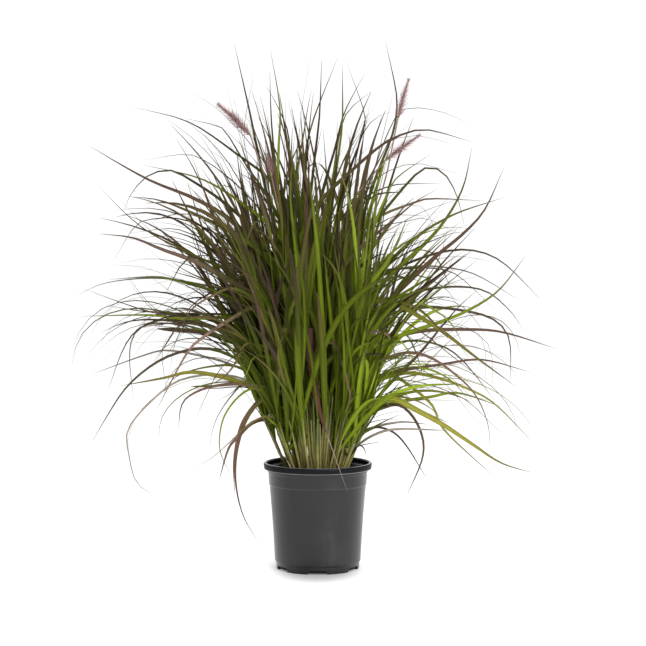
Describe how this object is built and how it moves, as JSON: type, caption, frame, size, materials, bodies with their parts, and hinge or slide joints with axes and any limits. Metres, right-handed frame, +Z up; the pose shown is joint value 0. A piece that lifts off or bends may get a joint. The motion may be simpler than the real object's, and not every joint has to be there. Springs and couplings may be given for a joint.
{
  "type": "potted ornamental grass",
  "caption": "Arching purple-brown and green fountain grass growing as one dense clump from the soil of a round black nursery pot with a rolled rim and foot notches, a few young flower spikes.",
  "frame": {"origin": "middle of the pot's flat underside, which stands on the ground", "axes": "+Z up along the pot's axis, +X to the right and -Y towards the viewer of the plant's front"},
  "size_m": [0.74, 0.6293, 0.8077],
  "materials": {
    "pot_plastic": "satin",
    "potting_mix": "matte",
    "grass_leaf": "satin",
    "flower_spike": "matte"
  },
  "bodies": {
    "root": {"pot": "pot_plastic", "potting_soil": "potting_mix", "tiller_01": "grass_leaf", "tiller_02": "grass_leaf", "tiller_03": "grass_leaf", "tiller_04": "grass_leaf", "tiller_05": "grass_leaf", "tiller_06": "grass_leaf", "tiller_07": "grass_leaf", "tiller_08": "grass_leaf", "tiller_09": "grass_leaf", "tiller_10": "grass_leaf", "tiller_11": "grass_leaf", "tiller_12": "grass_leaf", "tiller_13": "grass_leaf", "tiller_14": "grass_leaf", "tiller_15": "grass_leaf", "tiller_16": "grass_leaf", "tiller_17": "grass_leaf", "tiller_18": "grass_leaf", "tiller_19": "grass_leaf", "tiller_20": "grass_leaf", "tiller_21": "grass_leaf", "tiller_22": "grass_leaf", "tiller_23": "grass_leaf", "tiller_24": "grass_leaf", "tiller_25": "grass_leaf", "tiller_26": "grass_leaf", "tiller_27": "grass_leaf", "tiller_28": "grass_leaf", "tiller_29": "grass_leaf", "tiller_30": "grass_leaf", "tiller_31": "grass_leaf", "tiller_32": "grass_leaf", "tiller_33": "grass_leaf", "tiller_34": "grass_leaf", "tiller_35": "grass_leaf", "tiller_36": "grass_leaf", "tiller_37": "grass_leaf", "tiller_38": "grass_leaf", "tiller_39": "grass_leaf", "tiller_40": "grass_leaf", "flower_stem_1": "flower_spike", "flower_stem_2": "flower_spike", "flower_stem_3": "flower_spike", "flower_stem_4": "flower_spike"}
  },
  "joints": []
}
